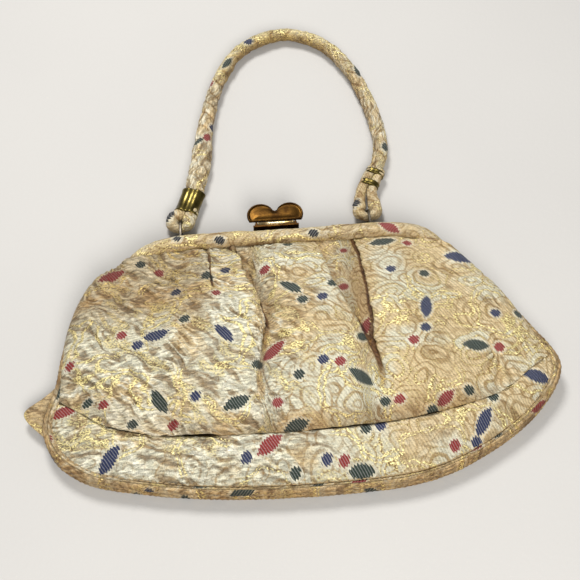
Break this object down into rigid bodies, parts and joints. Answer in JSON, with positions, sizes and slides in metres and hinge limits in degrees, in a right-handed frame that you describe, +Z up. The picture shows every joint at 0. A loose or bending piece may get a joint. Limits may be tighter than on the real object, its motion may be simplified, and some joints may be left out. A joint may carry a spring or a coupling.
{
  "type": "frame evening bag",
  "caption": "Soft evening bag of gathered brocade on a covered, hinged metal frame, with a lobed lift clasp and a short rope handle on wire links.",
  "frame": {"origin": "on the back panel's outer face, under the middle of the bag, where the bag lies on a table", "axes": "+X along the frame bars, +Y from the bag's bottom towards the handle, +Z up through the thickness, from back to front"},
  "size_m": [0.2637, 0.3009, 0.0325],
  "materials": {
    "brocade": "ivory and pale gold brocade with metallic thread and woven navy, red and green motifs",
    "satin_lining": "plain satin",
    "antique_brass": "darkened, lightly worn brass",
    "dark_steel": "tarnished wire",
    "cotton_core": "twisted cotton cord"
  },
  "bodies": {
    "bag": {"back_panel": "brocade", "back_band": "brocade", "back_piping": "brocade", "front_panel_lower": "brocade", "front_band": "brocade", "front_piping": "brocade", "gusset_left": "brocade", "gusset_base": "brocade", "gusset_right": "brocade", "lining_front": "satin_lining", "lining_back": "satin_lining", "inner_pocket": "satin_lining", "back_rail": "antique_brass", "back_sleeve": "brocade", "hinge_pin_left": "dark_steel", "hinge_pin_right": "dark_steel", "handle_staple_left": "dark_steel", "handle_staple_right": "dark_steel", "clasp_catch": "antique_brass"},
    "front_frame": {"front_panel_upper": "brocade", "front_rail": "antique_brass", "front_sleeve": "brocade", "clasp_bracket": "antique_brass", "clasp_pin": "dark_steel", "clasp_spring": "dark_steel"},
    "clasp_lift": {"clasp_tab": "antique_brass"},
    "links": {"link_left": "dark_steel", "link_right": "dark_steel"},
    "carry_handle": {"handle_tube": "brocade", "handle_core": "cotton_core", "handle_loop_left": "brocade", "handle_loop_right": "brocade", "ferrule_left": "antique_brass", "ferrule_right": "antique_brass"}
  },
  "joints": [
    {"name": "frame_hinge", "type": "hinge", "parent": "bag", "child": "front_frame", "pos_m": [0, -0.009, 0.01085], "axis": [1, 0, 0], "range_deg": [0, 60]},
    {"name": "clasp_pivot", "type": "hinge", "parent": "front_frame", "child": "clasp_lift", "pos_m": [-0.005, 0.0317, 0.016], "axis": [1, 0, 0], "range_deg": [0, 25], "stiffness_Nm_per_rad": 0.02},
    {"name": "link_swing", "type": "hinge", "parent": "bag", "child": "links", "pos_m": [-0.005, 0.0317, 0.0062], "axis": [1, 0, 0], "range_deg": [-60, 70]},
    {"name": "handle_swing", "type": "hinge", "parent": "links", "child": "carry_handle", "pos_m": [-0.005, 0.0406, 0.0046], "axis": [1, 0, 0], "range_deg": [-45, 40]}
  ]
}
